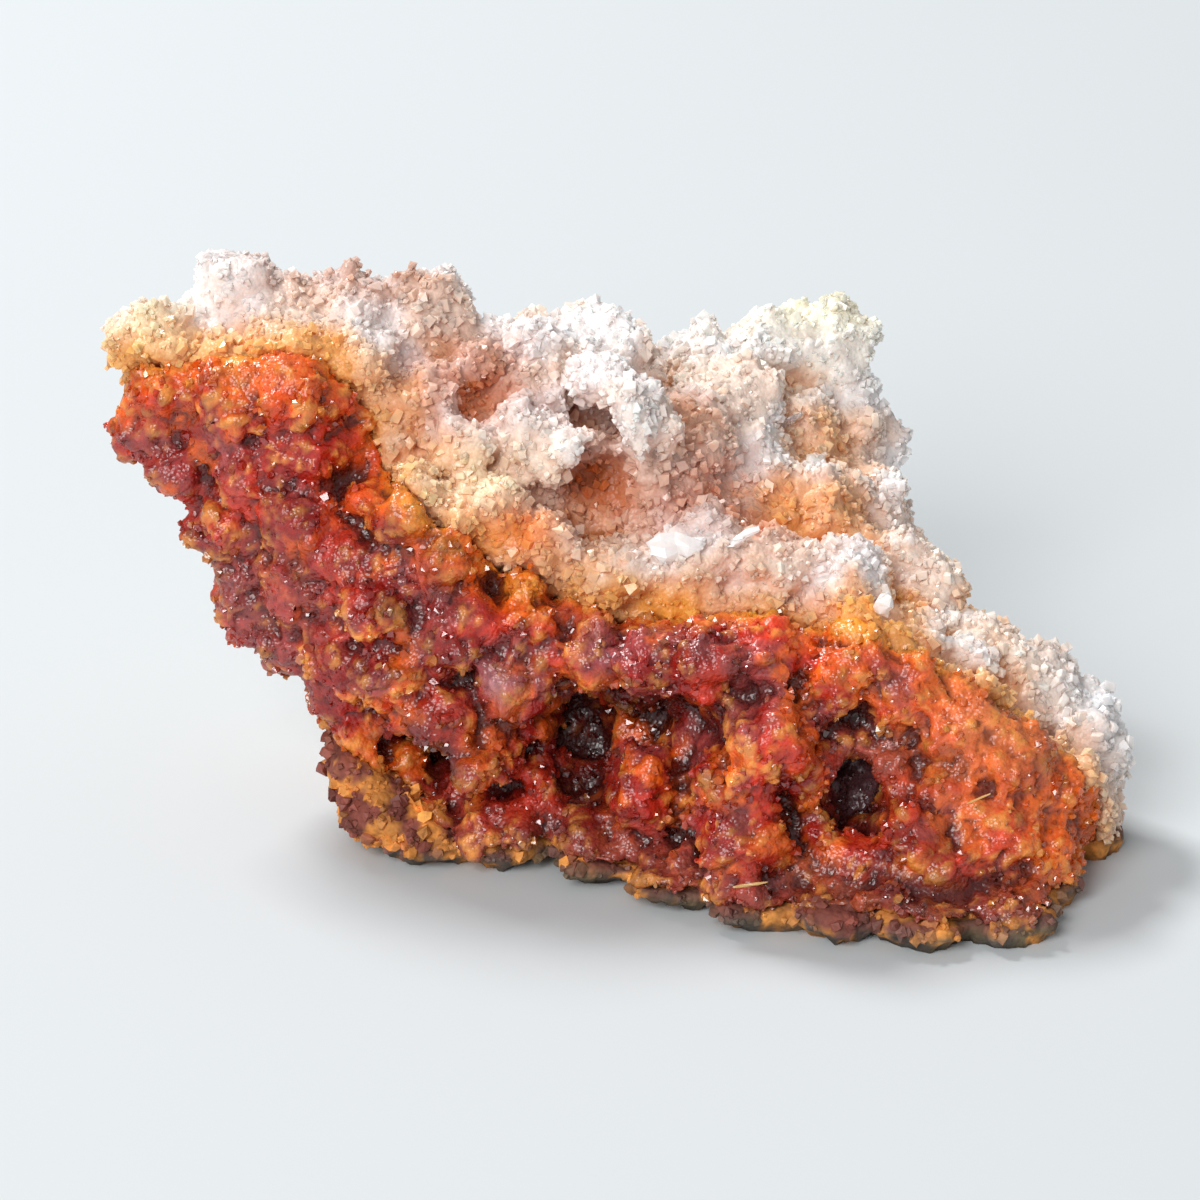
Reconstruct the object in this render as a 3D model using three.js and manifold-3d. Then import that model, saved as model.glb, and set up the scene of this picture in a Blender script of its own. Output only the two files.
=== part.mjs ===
// Zincite on matrix: a hand specimen of orange-red zincite, about 90 mm wide.
//
// A rind of dark rock, the matrix, lies along the underside. The zincite stands on it, a mass of
// crystal clusters broken open towards the front, with ledges, hollows and hanging knobs. A pale sugary
// crust of small blocky crystals covers the top, the back and the right end.
//
// Millimetres, +Z up. -Y is the broken red face, +X the low right end. While it is built, Z 0 is the surface
// that the specimen rests on and Y 0 is within 3 mm of the foremost point of its foot; the last lines move
// the origin to the middle of the box round the specimen, on that surface.

import * as THREE from "three";
import { mergeVertices } from "three/addons/utils/BufferGeometryUtils.js";
import Module from "manifold-3d";

const wasm = await Module();
wasm.setup();

// Driving dimensions
const CLEARANCE = 0.3; // between pieces that touch
const CRUST_THICKNESS = 4.5;
const RIND_THICKNESS = 2.2;
const MASS_SHARE = 0.9; // how far the main mass fills the lumps that its surface is measured from
const MASS_RELIEF = 0.45; // how far the corners of the main mass wander in or out
const CLUSTER_SCALE = 1.1; // makes up for what an icosphere's flat faces take from a lump's radius
const CLUSTER_ROUGHNESS = 0.08; // share of its radius by which the corners of a red cluster wander
const CRYSTAL_ROUGHNESS = 0.2; // the same for the blockier crystals of the crust
const HOLLOW_SCALE = 1.15;

// A repeatable stream of numbers from 0 to 1.
function stream(seed) {
  let state = seed >>> 0;
  const next = () => {
    state = (Math.imul(state, 1664525) + 1013904223) >>> 0;
    return state / 4294967296;
  };
  for (let skip = 0; skip < 4; skip++) next();
  return next;
}

// A closed three.js geometry with its shared corners merged.
function skin(geometry) {
  geometry.deleteAttribute("normal");
  geometry.deleteAttribute("uv");
  return mergeVertices(geometry, 1e-4);
}

// A merged geometry as a solid that can be joined and cut.
function solid(merged) {
  const vertProperties = merged.attributes.position.array;
  return new wasm.Manifold(new wasm.Mesh({ numProp: 3, vertProperties, triVerts: merged.index.array }));
}

// Every row below is a lump in millimetres: its centre x, y, z, then its radii.

// The heart of the specimen, which the clusters and the crust grow from.
const HEART = [
  [-26, 34, 30, 10, 7, 10],
  [-34, 32, 35, 6, 5, 6],
  [-22, 31, 20, 8, 7, 9],
  [-14, 28, 12, 8, 10, 10],
  [-8, 34, 22, 12, 12, 12],
  [4, 36, 18, 14, 15, 13],
  [2, 26, 10, 16, 11, 9],
  [18, 38, 13, 10, 14, 11],
  [16, 50, 16, 8, 7, 11],
  [18, 22, 11, 14, 11, 10],
  [30, 18, 7, 10, 9, 7],
];

// The broken red face, from the high left end to the low right end.
const LEFT_CLUSTERS = [
  [-37.6, 31, 37.5, 3.9, 4.4, 4.2],
  [-39.6, 31, 33.6, 3, 4, 3.2],
  [-35.6, 30, 31.4, 3.8, 4.8, 3.8],
  [-31, 28.4, 37.4, 5, 5, 4.6],
  [-26, 27.6, 38.6, 5, 5, 4.6],
  [-30, 27.2, 32.2, 4.6, 5, 4.2],
  [-24.4, 26.6, 33.8, 3.6, 4.4, 4],
  [-25, 24.6, 28.4, 4.2, 5, 4],
  [-31.6, 28, 26, 4.2, 4.6, 4],
  [-30, 27, 20.2, 4.2, 5, 4.4],
  [-25.6, 25, 17, 4.4, 5, 4.4],
  [-25.6, 24, 23, 4.4, 5, 4],
  [-21, 22.4, 25, 4, 4.6, 4],
];
const MIDDLE_CLUSTERS = [
  [-17, 21, 30.6, 3.8, 4.4, 4.2],
  [-13, 19.4, 27.4, 4, 4.4, 4],
  [-18.4, 18.8, 22.6, 4.2, 4.8, 4.2],
  [-22, 20.6, 17, 4.2, 4.6, 4.2],
  [-17.4, 17.2, 17.4, 4.6, 4.6, 3.2],
  [-13.6, 15.6, 14, 4.2, 4.6, 3.2],
  [-10.2, 13.8, 10.4, 3.8, 4.2, 2.8],
  [-12.4, 17.8, 21.2, 4.2, 4.8, 4.2],
  [-7.4, 16.8, 16.8, 4, 4.4, 4.2],
  [-5.6, 18.2, 22, 3.8, 4.4, 3.4],
  [-0.2, 15, 19.8, 3.4, 4.2, 3.4],
];
const LEDGE_CLUSTERS = [
  [4, 12.6, 20.2, 3.4, 4.2, 3.2],
  [8.6, 11.4, 20.8, 3.8, 4.4, 3.2],
  [13, 12, 21.2, 3.6, 4.4, 3.2],
  [18.6, 12, 18, 2.8, 3.6, 4.2],
  [22, 13.6, 20.4, 3.8, 4.4, 3.4],
  [26, 12.6, 17.4, 4.2, 4.4, 3.8],
  [30.2, 11.6, 14.8, 4.2, 4.4, 4],
  [34.6, 11, 11.8, 4.2, 4.6, 4.2],
  [38.4, 12, 8.4, 4, 4.4, 4.2],
  [41, 14.4, 6, 3.2, 4.2, 4],
];
const LOWER_CLUSTERS = [
  [34, 8.6, 6.4, 4.2, 5, 4.4],
  [37.4, 9.4, 3, 4, 5, 4.4],
  [25.6, 12, 11, 3.6, 4.4, 4],
  [29.8, 9.4, 9, 4, 4.4, 4.2],
  [14.2, 7.4, 15, 4.4, 4.6, 4],
  [11.4, 6.8, 11.2, 3.8, 4.4, 4],
  [17.6, 8.4, 11.6, 2.8, 3.6, 3.2],
  [12, 5.4, 7.4, 4.4, 4.8, 3.4],
  [3.6, 11, 9.4, 2.8, 3.6, 4],
  [25.6, 6.6, 7.4, 4, 4.4, 3.4],
  [29, 5.4, 5, 3.6, 4.4, 3],
];

// The shelf that juts out under the hollows.
const SHELF = [
  [0, 12.6, 2.6, 4.6, 4.6, 2.4],
  [7, 8.2, 2.4, 5, 4.6, 2.4],
  [13.6, 5.2, 2.2, 5, 4.6, 2.2],
  [20.4, 3.6, 1.8, 5, 4.6, 2.2],
  [27.2, 2, 1.8, 5, 4.6, 2.4],
  [33.8, 3, 1.6, 4.8, 4.6, 2.8],
  [-21, 20.4, 6.2, 3, 4.6, 3],
  [-18.4, 17.6, 3.4, 4, 4.6, 2.8],
  [-14, 16.2, 2.4, 4.8, 4.6, 2.8],
  [-8.6, 15.4, 3.2, 5.2, 4.6, 3.2],
  [-5, 16, 5, 3, 3.8, 4],
];

// Hollows in the broken face and craters in the crust. The narrowest way across each of them is less than a
// tenth of the specimen's width.
const HOLLOWS = [
  [-19.6, 21, 35, 3, 6, 3.8],
  [-15.2, 16.4, 8.4, 4.2, 8, 3],
  [-1.4, 13, 10.6, 3.4, 9, 5.2],
  [21.6, 8, 9.6, 3, 8, 3.4],
  [12, 15.4, 24.8, 4.4, 4.4, 1.6],
  [-4.6, 17.6, 24.6, 2, 3, 1.4],
];
const CRATERS = [
  [-9.6, 28.6, 38.8, 3, 4.2, 4],
  [0, 24.4, 31.6, 4.2, 4.2, 4],
  [13.4, 27, 29.4, 4.2, 4.2, 3.2],
];

// The pale crust: the top left, the lobes over the red face, the middle, the right end, then the back.
const CRUST_TOP = [
  [-37.4, 33, 40.4, 4, 4.4, 3.2],
  [-40.2, 33, 41, 2.2, 3.4, 2.8],
  [-31.4, 37, 42, 4.2, 4, 3.4],
  [-33, 38, 44.4, 1.8, 2.2, 2.2],
  [-30.4, 38, 44.4, 1.8, 2.2, 2],
  [-26.6, 37.4, 41.4, 4.6, 5.4, 3.2],
  [-21.4, 37.6, 41.8, 4.8, 5.4, 3.4],
  [-16, 38, 40.8, 5, 5.6, 3.6],
  [-27, 30.8, 41.2, 4.2, 3.6, 2.4],
  [-22, 31, 40.2, 3.8, 4.2, 2.8],
];
const CRUST_LOBES = [
  [-12.6, 37, 37.6, 5, 6, 3.6],
  [-14.6, 30.4, 36.8, 3.4, 3.8, 3.2],
  [-12, 26.4, 33.2, 3, 3.6, 3.8],
  [-6.6, 27.6, 34, 3.8, 3.8, 3.4],
  [-3, 25.6, 33.4, 3.6, 3.6, 3.2],
  [-9.6, 22.4, 29.8, 3.8, 3.6, 3],
  [-4.8, 20.6, 27.2, 4, 4, 2.8],
  [1, 19.8, 25, 4, 4.2, 2.4],
  [4.4, 29, 34, 2, 2.8, 4.2],
  [8.6, 22.6, 26.2, 4.4, 4.8, 2.8],
  [14.6, 22.4, 24.6, 4.4, 4.8, 2.8],
  [20.6, 23, 22.8, 4.4, 4.8, 3],
  [26, 20.4, 18.2, 4.4, 4.4, 3],
];
const CRUST_MIDDLE = [
  [-7.4, 38, 36, 5.6, 7, 3.8],
  [-1, 42, 35, 6, 7.4, 4.2],
  [7, 35.6, 31.4, 5, 5.4, 3.6],
  [11, 43, 30.4, 6, 7, 3.8],
  [9.4, 50, 30, 5, 5.4, 4],
  [15.4, 54, 31, 5, 4.6, 4],
  [21, 55, 31.4, 4.4, 4.4, 4],
  [22.4, 52, 22.4, 4.2, 5, 6.4],
  [17, 47, 26, 5, 5.4, 4.6],
  [18.6, 37, 23.6, 5.2, 6, 4],
  [24, 42, 19.4, 4.4, 6, 5],
];
const CRUST_RIGHT = [
  [26.6, 29.6, 19, 5.2, 6, 3.8],
  [32, 24.4, 15.2, 5, 5.4, 3.8],
  [37.2, 22.8, 12.8, 4.6, 5.2, 3.8],
  [41.2, 20.6, 10.2, 4, 4.6, 3.6],
  [42.8, 19.4, 6.4, 3, 3.8, 3.6],
  [42.4, 17.6, 2.6, 3, 4, 3.8],
];
const CRUST_BACK = [
  [-35, 36, 34, 4.4, 3.6, 5],
  [-28.4, 40, 33, 5, 4.4, 6],
  [-10.4, 47, 27, 6, 4.6, 7],
  [-22.6, 39, 21, 5.6, 4.4, 6],
  [-13.6, 43, 15, 6.4, 4.6, 8],
  [-3.6, 49, 20, 6.4, 4.6, 8],
  [5, 53, 20, 6.4, 4.6, 8],
  [6, 52, 8, 7, 4.6, 7],
  [14, 56, 18, 5.4, 4.2, 7],
  [16, 54, 7, 6.4, 4.6, 7],
  [27, 38, 9, 4.6, 6, 7],
  [32.6, 29, 6, 5, 5.6, 6],
  [-31, 41, 38, 3.4, 3, 3.6],
  [-16, 46.4, 22, 3.8, 3.2, 4],
  [-6, 52, 13, 4, 3.2, 4.4],
  [9, 57.4, 13, 4, 3, 4.4],
  [20.6, 52, 13, 3.6, 4, 4.4],
  [-21, 42.6, 33, 5.2, 4, 6],
  [-14.6, 44.8, 32, 4, 3.6, 4.6],
];

// The rock under it all, which makes the flat underside.
const RIND = [
  [-14, 20, 0, 7, 6, 3],
  [-4, 19, 0, 8, 6, 3],
  [8, 13, 0, 8, 7, 3],
  [19, 9, 0, 9, 7, 3],
  [30, 9, 0, 8, 8, 3],
  [30, 20, 0, 9, 10, 3],
  [12, 24, 0, 16, 14, 3],
  [-4, 30, 0, 14, 13, 3],
  [8, 42, 0, 16, 11, 3],
  [-19, 26, 5, 4.4, 7, 4],
];

// A lump: an icosahedron turned at random, with corners that wander in and out, stretched to its three radii.
function lump([x, y, z, rx, ry, rz], scale, roughness) {
  const ball = skin(new THREE.IcosahedronGeometry(1));
  const random = stream(Math.round(10007 + x * 3110 + y * 577 + z * 911));
  ball.rotateX(random() * Math.PI).rotateZ(random() * Math.PI);
  const corners = ball.attributes.position;
  for (let i = 0; i < corners.count; i++) {
    const wander = scale * (1 + roughness * (2 * random() - 1));
    corners.setXYZ(i, corners.getX(i) * wander, corners.getY(i) * wander, corners.getZ(i) * wander);
  }
  ball.scale(rx, ry, rz);
  ball.translate(x, y, z);
  return solid(ball);
}

const lumps = (rows, scale, roughness) => wasm.Manifold.union(rows.map((row) => lump(row, scale, roughness)));

// The line inside the specimen that its surface is measured from.
const SPINE = new THREE.CatmullRomCurve3([
  new THREE.Vector3(-31, 32, 33),
  new THREE.Vector3(-22, 31, 24),
  new THREE.Vector3(-10, 30, 17),
  new THREE.Vector3(5, 30, 13),
  new THREE.Vector3(20, 28, 11),
  new THREE.Vector3(34, 20, 7),
]);

// How far the outermost lump reaches from a point inside the specimen in one direction.
function reach(from, towards, lumps) {
  let farthest = 0;
  for (const [x, y, z, rx, ry, rz] of lumps) {
    const q = [(from.x - x) / rx, (from.y - y) / ry, (from.z - z) / rz];
    const v = [towards.x / rx, towards.y / ry, towards.z / rz];
    const vv = v[0] * v[0] + v[1] * v[1] + v[2] * v[2];
    const qv = q[0] * v[0] + q[1] * v[1] + q[2] * v[2];
    const qq = q[0] * q[0] + q[1] * q[1] + q[2] * q[2];
    const root = qv * qv - vv * (qq - 1);
    if (root > 0) farthest = Math.max(farthest, (-qv + Math.sqrt(root)) / vv);
  }
  return farthest;
}

// A closed skin round the spine: a capsule whose corners are moved out to `radiusAt(from, towards)`.
// `rows` counts its corners along the spine, round it, and over each end.
function skinRoundSpine(rows, radiusAt) {
  const capsule = skin(new THREE.CapsuleGeometry(1, 2, rows.ends, rows.round, rows.along));
  capsule.rotateZ(-Math.PI / 2);
  const corners = capsule.attributes.position;
  const corner = new THREE.Vector3();
  for (let i = 0; i < corners.count; i++) {
    corner.fromBufferAttribute(corners, i);
    const along = THREE.MathUtils.clamp(corner.x, -1, 1);
    const towards = new THREE.Vector3(corner.x - along, corner.y, corner.z).normalize();
    const from = SPINE.getPoint((along + 1) / 2);
    const radius = radiusAt(from, towards);
    corners.setXYZ(i, from.x + towards.x * radius, from.y + towards.y * radius, from.z + towards.z * radius);
  }
  return solid(capsule);
}

const redRows = [...LEFT_CLUSTERS, ...MIDDLE_CLUSTERS, ...LEDGE_CLUSTERS, ...LOWER_CLUSTERS, ...SHELF];
const crustRows = [...CRUST_TOP, ...CRUST_LOBES, ...CRUST_MIDDLE, ...CRUST_RIGHT, ...CRUST_BACK];
const bodyRows = [...HEART, ...redRows, ...crustRows, ...RIND];

const relief = stream(31);
const mass = skinRoundSpine({ along: 10, round: 22, ends: 4 },
  (from, towards) => MASS_SHARE * reach(from, towards, bodyRows) + MASS_RELIEF * (2 * relief() - 1));
const whole = mass
  .add(lumps(redRows, CLUSTER_SCALE, CLUSTER_ROUGHNESS))
  .add(lumps(crustRows, CLUSTER_SCALE, CRYSTAL_ROUGHNESS));

// Stations along the specimen, each in millimetres: x, then the y and z of the ridge where the red face
// meets the crust, then the y of the back at the top, the z of the top, and the y of the back at the foot.
const STATIONS = [
  [-48, 30, 40, 42, 41, 34],
  [-41, 30, 39.6, 42, 41, 34],
  [-35, 29, 40, 41, 42, 30],
  [-29, 27, 42.4, 42, 44, 25.5],
  [-23, 27, 42, 42, 43, 30],
  [-18.5, 25, 37.5, 42, 43, 32],
  [-17, 21, 32.5, 42.5, 42, 33],
  [-13, 18, 29.5, 44.5, 41, 35],
  [-7, 17, 28, 47, 38, 38],
  [0, 15.5, 24.5, 49, 36, 46],
  [4, 15, 23.6, 50, 33, 50],
  [12, 15.5, 24, 53, 32, 53],
  [20, 15.4, 23, 54, 32, 52],
  [24, 13, 21.4, 51, 27, 41],
  [28, 12.8, 19, 43, 23, 35],
  [34, 12, 16.2, 33, 18, 31],
  [40, 12.4, 11, 25.5, 13, 22],
  [42.5, 12, 7, 24, 8, 21],
];
const LEAD_OUT = 14; // how far the dividing face runs out of the specimen above the ridge
const WELL_OUTSIDE = 40; // beyond the specimen's front, and below it
const BAR_STEPS = 26; // lengths that the dividing bar is made of
const SLANT_GAP = 1.4; // a face moved along Y and Z by this share of the gap moves by the whole gap or more

function stationAt(x) {
  const next = Math.max(1, STATIONS.findIndex((station) => station[0] >= x));
  const [a, b] = [STATIONS[next - 1], STATIONS[next]];
  const share = (x - a[0]) / (b[0] - a[0]);
  return a.map((value, i) => value + share * (b[i] - value));
}

// The six corners, as y and z, of everything in front of and under the crust at one station. From the ridge
// its face drops steeply into the specimen, runs back under the crust, and goes down inside the back.
// `gap` moves the faces under the crust out towards it.
function sectionUnderCrust([, ridgeY, ridgeZ, backY, topZ, footY], gap) {
  const low = Math.min(topZ, ridgeZ) - CRUST_THICKNESS;
  return [
    [-WELL_OUTSIDE, topZ + WELL_OUTSIDE],
    [-WELL_OUTSIDE, -WELL_OUTSIDE],
    [footY - CRUST_THICKNESS + gap, 0],
    [backY - CRUST_THICKNESS + gap, topZ - 1.2 * CRUST_THICKNESS + gap],
    [ridgeY + 0.8 * CRUST_THICKNESS + gap, low + gap],
    [ridgeY - 0.6 * LEAD_OUT + gap, ridgeZ + 0.8 * LEAD_OUT + gap],
  ];
}

// The solid with those sections: a six-sided bar along X whose corners are moved to them.
function underCrust(gap) {
  const [first, last] = [STATIONS[0][0], STATIONS.at(-1)[0]];
  const bar = skin(new THREE.CylinderGeometry(1, 1, last - first, 6, BAR_STEPS));
  const corners = bar.attributes.position;
  for (let i = 0; i < corners.count; i++) {
    const x = THREE.MathUtils.clamp(corners.getY(i) + (last + first) / 2, first, last);
    const section = sectionUnderCrust(stationAt(x), gap * SLANT_GAP);
    const isMiddleOfEnd = Math.hypot(corners.getX(i), corners.getZ(i)) < 0.5;
    const turn = Math.atan2(corners.getX(i), corners.getZ(i)) / (2 * Math.PI) + 1;
    const [y, z] = isMiddleOfEnd ? [0, 0] : section[Math.round(turn * 6) % 6];
    corners.setXYZ(i, x === last ? x + gap : x, y, z);
  }
  return solid(bar);
}

// Everything below the top of the rind: a slab whose top is lifted at the left, under the overhanging end.
const SLAB = { width: 120, depth: 80, height: 20, acrossSteps: 10, deepSteps: 6, middleY: 30 };
const RIND_LIFT = { fromX: -17, slope: 1.1, most: 8 };
const RIND_RELIEF = 0.7;
function belowRindTop(gap) {
  const { width, depth, height, acrossSteps, deepSteps, middleY } = SLAB;
  const box = skin(new THREE.BoxGeometry(width, depth, height, acrossSteps, deepSteps, 1));
  box.translate(0, middleY, -height / 2);
  const corners = box.attributes.position;
  const wander = stream(5);
  for (let i = 0; i < corners.count; i++) {
    if (corners.getZ(i) < -height / 2) continue;
    const past = RIND_LIFT.fromX - corners.getX(i);
    const lift = THREE.MathUtils.clamp(past * RIND_LIFT.slope, 0, RIND_LIFT.most);
    corners.setZ(i, RIND_THICKNESS + lift + RIND_RELIEF * (2 * wander() - 1) + gap * SLANT_GAP);
  }
  return solid(box);
}

function belowGround() {
  const box = skin(new THREE.BoxGeometry(SLAB.width, SLAB.depth, SLAB.height));
  box.translate(0, SLAB.middleY, -SLAB.height / 2);
  return solid(box);
}

// The largest body of a solid, without the crumbs that a cut leaves.
function largest(shape) {
  return shape.decompose().sort((a, b) => b.volume() - a.volume())[0];
}

const standing = whole.subtract(belowGround());
const aboveRind = standing.subtract(belowRindTop(CLEARANCE));
const hollows = lumps([...HOLLOWS, ...CRATERS], HOLLOW_SCALE, CLUSTER_ROUGHNESS);
const zincite = largest(aboveRind.intersect(underCrust(0)).subtract(hollows));
const whiteCrust = largest(aboveRind.subtract(underCrust(CLEARANCE)).subtract(hollows));
const matrix = largest(standing.intersect(belowRindTop(0)));

function piece(name, shape, look) {
  const made = shape.getMesh();
  const geometry = new THREE.BufferGeometry();
  geometry.setAttribute("position", new THREE.BufferAttribute(new Float32Array(made.vertProperties), 3));
  geometry.setIndex(new THREE.BufferAttribute(new Uint32Array(made.triVerts), 1));
  geometry.computeVertexNormals();
  const mesh = new THREE.Mesh(geometry, new THREE.MeshStandardMaterial({ ...look, flatShading: true }));
  mesh.name = name;
  return mesh;
}

const specimen = new THREE.Group();
specimen.add(piece("matrix", matrix, { color: 0x4a4a3c, roughness: 0.9, metalness: 0 }));
specimen.add(piece("zincite", zincite, { color: 0xb8402a, roughness: 0.4, metalness: 0 }));
specimen.add(piece("white_crust", whiteCrust, { color: 0xe6dcd6, roughness: 0.35, metalness: 0 }));

// The origin goes to the middle of the box round the specimen, on the surface that it rests on.
const middle = new THREE.Box3().setFromObject(specimen).getCenter(new THREE.Vector3());
specimen.position.set(-middle.x, -middle.y, 0);
specimen.updateMatrixWorld(true);

export default specimen;
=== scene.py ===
import math

import bpy
import numpy as np
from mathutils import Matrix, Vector


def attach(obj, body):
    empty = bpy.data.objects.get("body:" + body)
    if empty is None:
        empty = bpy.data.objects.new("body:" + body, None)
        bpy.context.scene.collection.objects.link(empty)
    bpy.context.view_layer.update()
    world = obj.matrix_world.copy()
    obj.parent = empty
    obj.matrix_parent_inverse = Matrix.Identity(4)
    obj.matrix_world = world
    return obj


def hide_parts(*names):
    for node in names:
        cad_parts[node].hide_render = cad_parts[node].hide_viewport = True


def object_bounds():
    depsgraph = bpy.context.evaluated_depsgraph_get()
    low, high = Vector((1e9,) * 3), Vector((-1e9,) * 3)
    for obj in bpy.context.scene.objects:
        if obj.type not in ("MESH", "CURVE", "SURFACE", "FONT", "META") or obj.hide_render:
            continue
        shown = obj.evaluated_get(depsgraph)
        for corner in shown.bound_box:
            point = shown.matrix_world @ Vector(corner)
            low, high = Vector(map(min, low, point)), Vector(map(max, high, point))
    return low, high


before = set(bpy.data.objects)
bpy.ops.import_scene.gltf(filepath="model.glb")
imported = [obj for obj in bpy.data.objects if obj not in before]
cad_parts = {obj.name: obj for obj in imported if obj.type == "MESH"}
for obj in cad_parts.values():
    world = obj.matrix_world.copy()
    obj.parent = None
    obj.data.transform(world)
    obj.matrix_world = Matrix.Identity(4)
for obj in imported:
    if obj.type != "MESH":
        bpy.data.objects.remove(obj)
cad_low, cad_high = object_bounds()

# The dark rock
# A thin rind of rock under the zincite, which the specimen rests on. It is grey-brown with olive and ochre
# stains, rough and fine grained, and the crystals grew on it.

MM = 0.001
ROCK_CUBE = 0.6 * MM
KNOB_SIZE = 2.6 * MM
KNOB_HEIGHT = 1.4 * MM
KNOB_MEAN = 0.42
CHIP_SIZE = 1.5 * MM
CHIP_HEIGHT = 0.5 * MM
CHIP_SHADE = 0.6
FOOT_HEIGHT = 0.5 * MM
BOX_SPARE = 0.5 * MM
ROCK_GREY = (92, 82, 74)
ROCK_OLIVE = (114, 98, 66)
OCHRE_DUST = (222, 146, 66)
SHELF_BROWN = (132, 66, 54)

# A layer of colour has its colour, the value where it starts, the value where it is full, and the largest
# share. Patches of noise have their size and the noise's seed in front of these.
OLIVE_PATCHES = (4 * MM, 5, ROCK_OLIVE, 0.45, 0.7, 0.6)
OCHRE_PATCHES = (1.6 * MM, 6, OCHRE_DUST, 0.48, 0.6, 0.85)
BROWN_ABOVE_EDGE = (SHELF_BROWN, 1 * MM, 2.8 * MM, 0.9)
BROWN_EDGE_WANDER = 2 * MM
BROWN_EDGE_PATCH = 3 * MM


def corners_and_faces(mesh):
    """The mesh's corner places as an (n, 3) array and its triangles as an (m, 3) array, doubles merged."""
    places = np.empty(len(mesh.vertices) * 3)
    mesh.vertices.foreach_get("co", places)
    mesh.calc_loop_triangles()
    faces = np.empty(len(mesh.loop_triangles) * 3, np.int64)
    mesh.loop_triangles.foreach_get("vertices", faces)
    rounded = np.round(places.reshape(-1, 3), 7)
    merged, number = np.unique(rounded, axis=0, return_inverse=True)
    return merged, number.reshape(-1)[faces].reshape(-1, 3)


def hashed(cells, seed):
    """Three numbers from 0 to 1 for each whole-numbered cell: its three counts are multiplied by large
    primes, mixed by shifts, and cut into three groups of bits."""
    n = cells.astype(np.int64)
    h = (n[:, 0] * 73856093) ^ (n[:, 1] * 19349663) ^ (n[:, 2] * 83492791) ^ (seed * 2654435761)
    h = ((h ^ (h >> 15)) * 2246822519) & 0xFFFFFFFFFFFF
    h = ((h ^ (h >> 17)) * 32664899) & 0xFFFFFFFFFFFF
    h = h ^ (h >> 19)
    return np.stack([(h >> shift & 0xFFFF) / 65535 for shift in (0, 14, 28)], axis=1)


def rolling(places, size, seed, layers=3):
    """Smooth noise from 0 to 1: hashed values at the corners of cubes of `size`, blended across each cube,
    with each further layer half the size and half the strength."""
    total = np.zeros(len(places))
    weight = 0
    for layer in range(layers):
        scaled = places / size * 2 ** layer
        home = np.floor(scaled)
        part = scaled - home
        part = part * part * (3 - 2 * part)
        for corner in np.ndindex(2, 2, 2):
            share = np.prod(np.where(corner, part, 1 - part), axis=1)
            total += share * hashed(home + corner, seed + layer)[:, 0] / 2 ** layer
        weight += 1 / 2 ** layer
    return total / weight


def grains(places, size, seed):
    """Distance to the nearest grain centre and to the next one, in units of `size`, with a number from 0 to
    1 for the nearest grain. Each cube of space holds one centre. A place looks at the 27 cubes round it."""
    scaled = places / size
    home = np.floor(scaled)
    nearest = np.full(len(places), 9.0)
    following = nearest.copy()
    tag = np.zeros(len(places))
    for offset in np.ndindex(3, 3, 3):
        cell = home + offset - 1
        centre = hashed(cell, seed)
        away = np.linalg.norm(scaled - cell - centre, axis=1)
        nearer = away < nearest
        following = np.where(nearer, nearest, np.minimum(following, away))
        tag = np.where(nearer, centre[:, 0], tag)
        nearest = np.where(nearer, away, nearest)
    return nearest, following, tag


def put_mesh(name, places, faces, smooth=True):
    """A mesh object from arrays: (n, 3) places in metres and (m, k) faces of k corners each."""
    mesh = bpy.data.meshes.new(name)
    mesh.vertices.add(len(places))
    mesh.vertices.foreach_set("co", places.astype(np.float32).ravel())
    mesh.loops.add(faces.size)
    mesh.loops.foreach_set("vertex_index", faces.astype(np.int32).ravel())
    mesh.polygons.add(len(faces))
    mesh.polygons.foreach_set("loop_start", np.arange(len(faces), dtype=np.int32) * faces.shape[1])
    mesh.polygons.foreach_set("use_smooth", np.full(len(faces), smooth))
    mesh.update(calc_edges=True)
    made = bpy.data.objects.new(name, mesh)
    bpy.context.scene.collection.objects.link(made)
    return made


def one_skin(name, shells, cube):
    """One closed skin round closed shells that overlap: the shells are put in one mesh, each shell's faces
    counted on from the one before, and their inside is sampled in cubes and drawn as four-cornered faces."""
    counts = np.cumsum([0] + [len(places) for places, _ in shells[:-1]])
    rough = put_mesh(name + "_rough", np.concatenate([places for places, _ in shells]),
                     np.concatenate([faces + count for (_, faces), count in zip(shells, counts)]))
    sampled = rough.modifiers.new("skin", "REMESH")
    sampled.mode = "VOXEL"
    sampled.voxel_size = cube
    graph = bpy.context.evaluated_depsgraph_get()
    mesh = bpy.data.meshes.new_from_object(rough.evaluated_get(graph))
    places = np.empty(len(mesh.vertices) * 3)
    mesh.vertices.foreach_get("co", places)
    faces = np.empty(len(mesh.loops), np.int32)
    mesh.loops.foreach_get("vertex_index", faces)
    bpy.data.objects.remove(rough)
    bpy.data.meshes.remove(mesh)
    return places.reshape(-1, 3), faces.reshape(-1, 4).astype(np.int64)


def sum_at(count, where, values):
    """Adds up rows of `values` at the corner numbers in `where`."""
    return np.stack([np.bincount(where, values[:, axis], count) for axis in range(3)], axis=1)


def outward(places, faces):
    """Unit normals at the corners: each face's two diagonals are crossed, and the results are added at its
    corners."""
    a, b, c, d = (places[faces[:, i]] for i in range(4))
    flat = np.cross(c - a, d - b)
    total = sum(sum_at(len(places), faces[:, i], flat) for i in range(4))
    return total / np.maximum(np.linalg.norm(total, axis=1, keepdims=True), 1e-12)


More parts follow.
